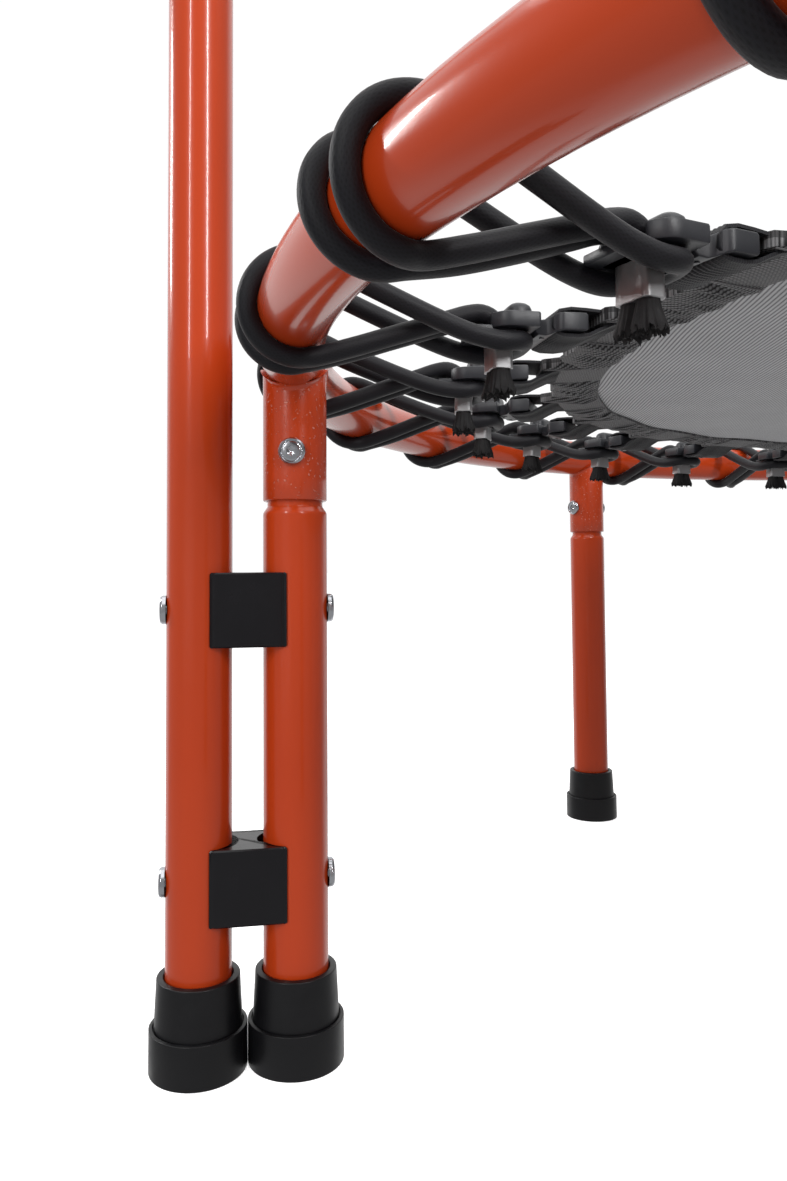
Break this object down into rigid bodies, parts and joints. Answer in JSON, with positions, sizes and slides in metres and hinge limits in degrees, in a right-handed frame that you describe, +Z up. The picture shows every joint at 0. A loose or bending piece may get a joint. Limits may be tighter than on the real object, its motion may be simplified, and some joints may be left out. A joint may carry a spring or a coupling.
{
  "type": "mini trampoline",
  "caption": "Round bungee-suspended mini trampoline on short tubular legs with a height-adjustable U-shaped handlebar bolted to two of the legs.",
  "frame": {"origin": "on the floor under the centre of the ring", "axes": "+Z up; the handlebar stands on the -Y side; +X to the right of someone on the mat facing away from the handlebar"},
  "size_m": [1.033, 1.033, 1.0795],
  "materials": {
    "orange_paint": "glossy orange-red powder coat",
    "bright_steel": "bright zinc-plated",
    "black_rubber": "matt moulded rubber",
    "black_plastic": "semi-gloss moulded plastic",
    "hook_plastic": "fine-grained moulded plastic",
    "black_foam": "closed-cell foam",
    "elastic_cord": "braided sheath",
    "mat_fabric": "woven polypropylene mesh",
    "webbing": "ribbed webbing"
  },
  "bodies": {
    "frame": {"ring_frame": "orange_paint", "leg_1": "orange_paint", "leg_bolt_1": "bright_steel", "leg_foot_1": "black_rubber", "leg_2": "orange_paint", "leg_bolt_2": "bright_steel", "leg_foot_2": "black_rubber", "leg_3": "orange_paint", "leg_bolt_3": "bright_steel", "leg_foot_3": "black_rubber", "leg_4": "orange_paint", "leg_bolt_4": "bright_steel", "leg_foot_4": "black_rubber", "leg_5": "orange_paint", "leg_bolt_5": "bright_steel", "leg_foot_5": "black_rubber", "leg_6": "orange_paint", "leg_bolt_6": "bright_steel", "leg_foot_6": "black_rubber", "upright_left": "orange_paint", "upright_foot_left": "black_rubber", "spacer_left_lower": "black_plastic", "clamp_bolt_left_lower": "bright_steel", "spacer_left_upper": "black_plastic", "clamp_bolt_left_upper": "bright_steel", "upright_right": "orange_paint", "upright_foot_right": "black_rubber", "spacer_right_lower": "black_plastic", "clamp_bolt_right_lower": "bright_steel", "spacer_right_upper": "black_plastic", "clamp_bolt_right_upper": "bright_steel", "bungee_01": "elastic_cord", "bungee_02": "elastic_cord", "bungee_03": "elastic_cord", "bungee_04": "elastic_cord", "bungee_05": "elastic_cord", "bungee_06": "elastic_cord", "bungee_07": "elastic_cord", "bungee_08": "elastic_cord", "bungee_09": "elastic_cord", "bungee_10": "elastic_cord", "bungee_11": "elastic_cord", "bungee_12": "elastic_cord", "bungee_13": "elastic_cord", "bungee_14": "elastic_cord", "bungee_15": "elastic_cord", "bungee_16": "elastic_cord", "bungee_17": "elastic_cord", "bungee_18": "elastic_cord", "bungee_19": "elastic_cord", "bungee_20": "elastic_cord", "bungee_21": "elastic_cord", "bungee_22": "elastic_cord", "bungee_23": "elastic_cord", "bungee_24": "elastic_cord"},
    "mat": {"jump_mat": "mat_fabric"},
    "bar": {"handlebar": "orange_paint", "foam_grip": "black_foam"},
    "knob_left": {"height_knob_left": "black_plastic"},
    "knob_right": {"height_knob_right": "black_plastic"}
  },
  "joints": [
    {"name": "mat_bounce", "type": "slide", "parent": "frame", "child": "mat", "axis": [0, 0, -1], "range_m": [0, 0.12], "stiffness_N_per_m": 3000, "springref_m": -0.003, "deforming": ["bungee_01", "bungee_02", "bungee_03", "bungee_04", "bungee_05", "bungee_06", "bungee_07", "bungee_08", "bungee_09", "bungee_10", "bungee_11", "bungee_12", "bungee_13", "bungee_14", "bungee_15", "bungee_16", "bungee_17", "bungee_18", "bungee_19", "bungee_20", "bungee_21", "bungee_22", "bungee_23", "bungee_24"]},
    {"name": "handlebar_height", "type": "slide", "parent": "frame", "child": "bar", "axis": [0, 0, 1], "range_m": [0, 0.16]},
    {"name": "knob_left_turn", "type": "hinge", "parent": "frame", "child": "knob_left", "pos_m": [-0.2628, -0.47, 0.69], "axis": [0, -1, 0], "continuous": true},
    {"name": "knob_right_turn", "type": "hinge", "parent": "frame", "child": "knob_right", "pos_m": [0.2628, -0.47, 0.69], "axis": [0, -1, 0], "continuous": true}
  ]
}
